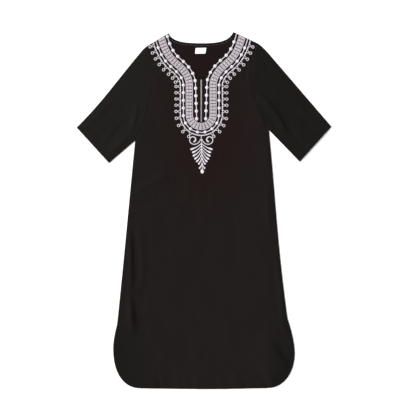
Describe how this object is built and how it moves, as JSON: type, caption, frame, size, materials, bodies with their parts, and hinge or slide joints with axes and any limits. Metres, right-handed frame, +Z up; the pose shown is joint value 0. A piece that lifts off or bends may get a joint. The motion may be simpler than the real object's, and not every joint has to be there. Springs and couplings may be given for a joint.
{
  "type": "thobe",
  "caption": "Short-sleeved black thobe laid flat, front up, with a pale embroidered yoke round a V neck and front slit, and rounded tails.",
  "frame": {"origin": "middle of the plan box, on the surface that the garment lies on", "axes": "+Y towards the neck, +Z up out of the garment's front, +X towards the right of a viewer who looks down on it"},
  "size_m": [0.9266, 1.2984, 0.0078],
  "materials": {
    "black_cloth": "plain woven, soft matt with a faint sheen",
    "pale_thread": "satin-stitched embroidery thread",
    "white_satin": "bare woven satin label",
    "grey_cord": "fine twisted cord"
  },
  "bodies": {
    "root": {"back_panel": "black_cloth", "front_panel": "black_cloth", "sleeve_left": "black_cloth", "sleeve_right": "black_cloth", "neck_label": "white_satin", "slit_cord_left": "grey_cord", "slit_cord_right": "grey_cord", "ladder_band": "pale_thread", "inner_dots_left": "pale_thread", "inner_dots_right": "pale_thread", "outer_dots": "pale_thread", "looped_cord": "pale_thread", "scroll_left": "pale_thread", "scroll_right": "pale_thread", "palmette": "pale_thread", "palmette_drop": "pale_thread"}
  },
  "joints": []
}
